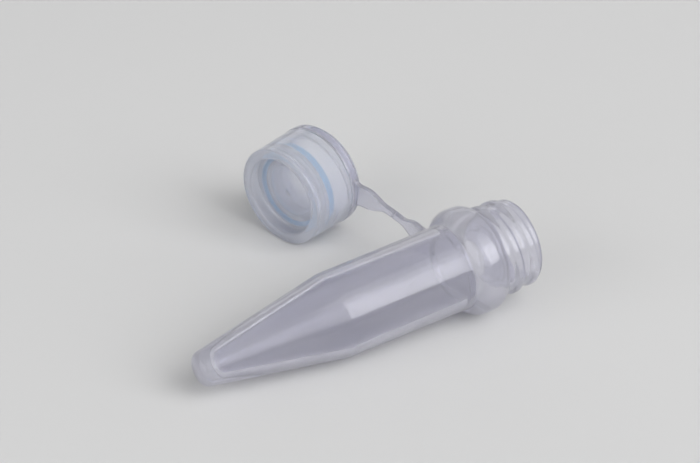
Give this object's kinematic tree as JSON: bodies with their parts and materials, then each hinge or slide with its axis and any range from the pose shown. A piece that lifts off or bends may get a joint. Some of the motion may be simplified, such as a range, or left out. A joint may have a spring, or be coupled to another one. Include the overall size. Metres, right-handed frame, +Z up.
{
  "type": "screw cap microtube",
  "caption": "Small conical screw-cap sample tube lying open on its side, with its cap held by a moulded strap and a blue sealing ring inside the cap.",
  "frame": {"origin": "on the ground under the middle of the part's bounding box, in the open lie", "axes": "+X along the ground from the tube's tip to its mouth, +Y across to the side where the cap lies, +Z up"},
  "size_m": [0.0434, 0.0398, 0.0137],
  "materials": {
    "clear_polypropylene": "milky translucent natural polypropylene",
    "cap_polypropylene": "milky translucent natural polypropylene",
    "blue_silicone": "pale blue silicone rubber"
  },
  "bodies": {
    "tube_body": {"tube": "clear_polypropylene"},
    "strap_body": {"strap": "clear_polypropylene"},
    "ring_body": {"cap_ring": "clear_polypropylene"},
    "cap_body": {"cap": "cap_polypropylene", "seal_ring": "blue_silicone"}
  },
  "joints": [
    {"name": "strap_bend_at_tube", "type": "hinge", "parent": "tube_body", "child": "strap_body", "pos_m": [0.01235, -0.00589, 0.00648], "axis": [0.0811, 0, -0.9967], "range_deg": [-30, 93], "stiffness_Nm_per_rad": 0.002},
    {"name": "strap_bend_at_cap", "type": "hinge", "parent": "strap_body", "child": "ring_body", "pos_m": [0.01094, 0.00578, 0.00671], "axis": [0.0302, 0.0283, -0.9991], "range_deg": [-30, 102], "stiffness_Nm_per_rad": 0.002},
    {"name": "cap_turn", "type": "hinge", "parent": "ring_body", "child": "cap_body", "pos_m": [0.00849, 0.01322, 0.00684], "axis": [0.9493, 0.3121, 0.0375], "continuous": true}
  ]
}
